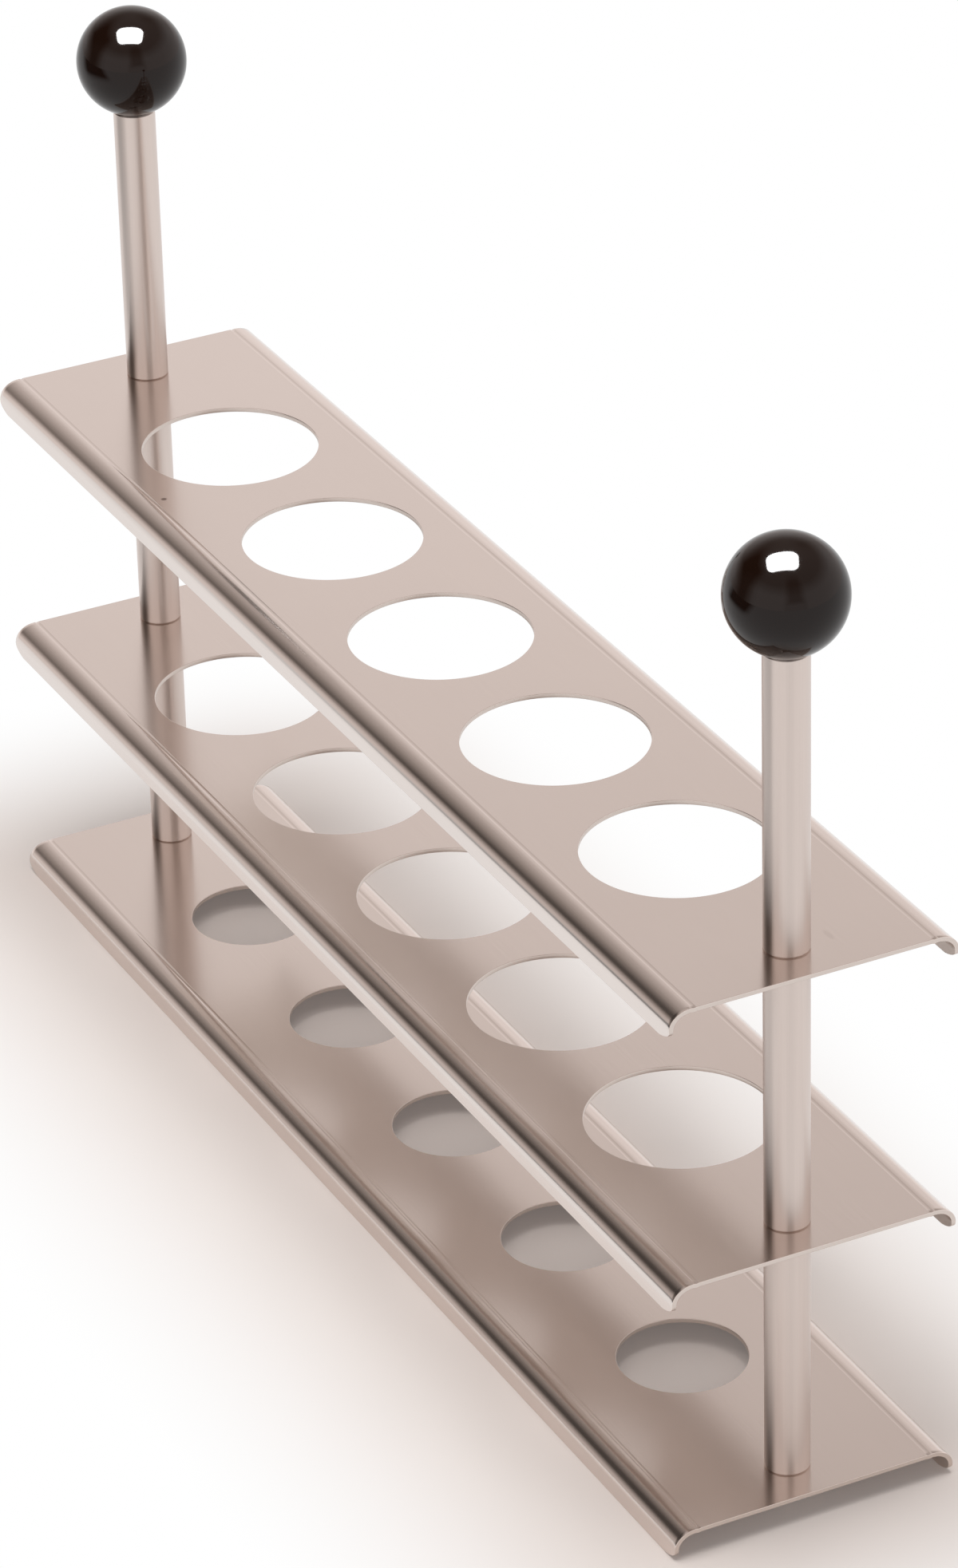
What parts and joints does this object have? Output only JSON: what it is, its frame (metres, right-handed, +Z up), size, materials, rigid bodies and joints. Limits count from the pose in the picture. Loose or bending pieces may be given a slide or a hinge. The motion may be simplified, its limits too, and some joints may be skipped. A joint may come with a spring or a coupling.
{
  "type": "test tube rack",
  "caption": "Three-tier test tube rack of folded stainless sheet with a row of round holes, two tube posts and ball knobs for handles.",
  "frame": {"origin": "centre of the footprint on the plane on which the rack stands", "axes": "+X along the row of tube holes, +Y across the shelves, +Z up along the posts"},
  "size_m": [0.327, 0.065, 0.2193],
  "materials": {
    "shelf_steel": "fine brushed along the shelf, satin",
    "post_steel": "drawn tube, fine satin",
    "fastener_steel": "plain bright",
    "knob_plastic": "moulded, high gloss",
    "insert_brass": "turned"
  },
  "bodies": {
    "root": {"top_shelf": "shelf_steel", "middle_shelf": "shelf_steel", "bottom_shelf": "shelf_steel", "left_lower_spacer": "post_steel", "right_lower_spacer": "post_steel", "left_middle_spacer": "post_steel", "right_middle_spacer": "post_steel", "left_handle_tube": "post_steel", "right_handle_tube": "post_steel", "left_tie_rod": "fastener_steel", "right_tie_rod": "fastener_steel", "left_washer": "fastener_steel", "right_washer": "fastener_steel", "left_nut": "fastener_steel", "right_nut": "fastener_steel", "left_knob": "knob_plastic", "right_knob": "knob_plastic", "left_knob_insert": "insert_brass", "right_knob_insert": "insert_brass"}
  },
  "joints": []
}
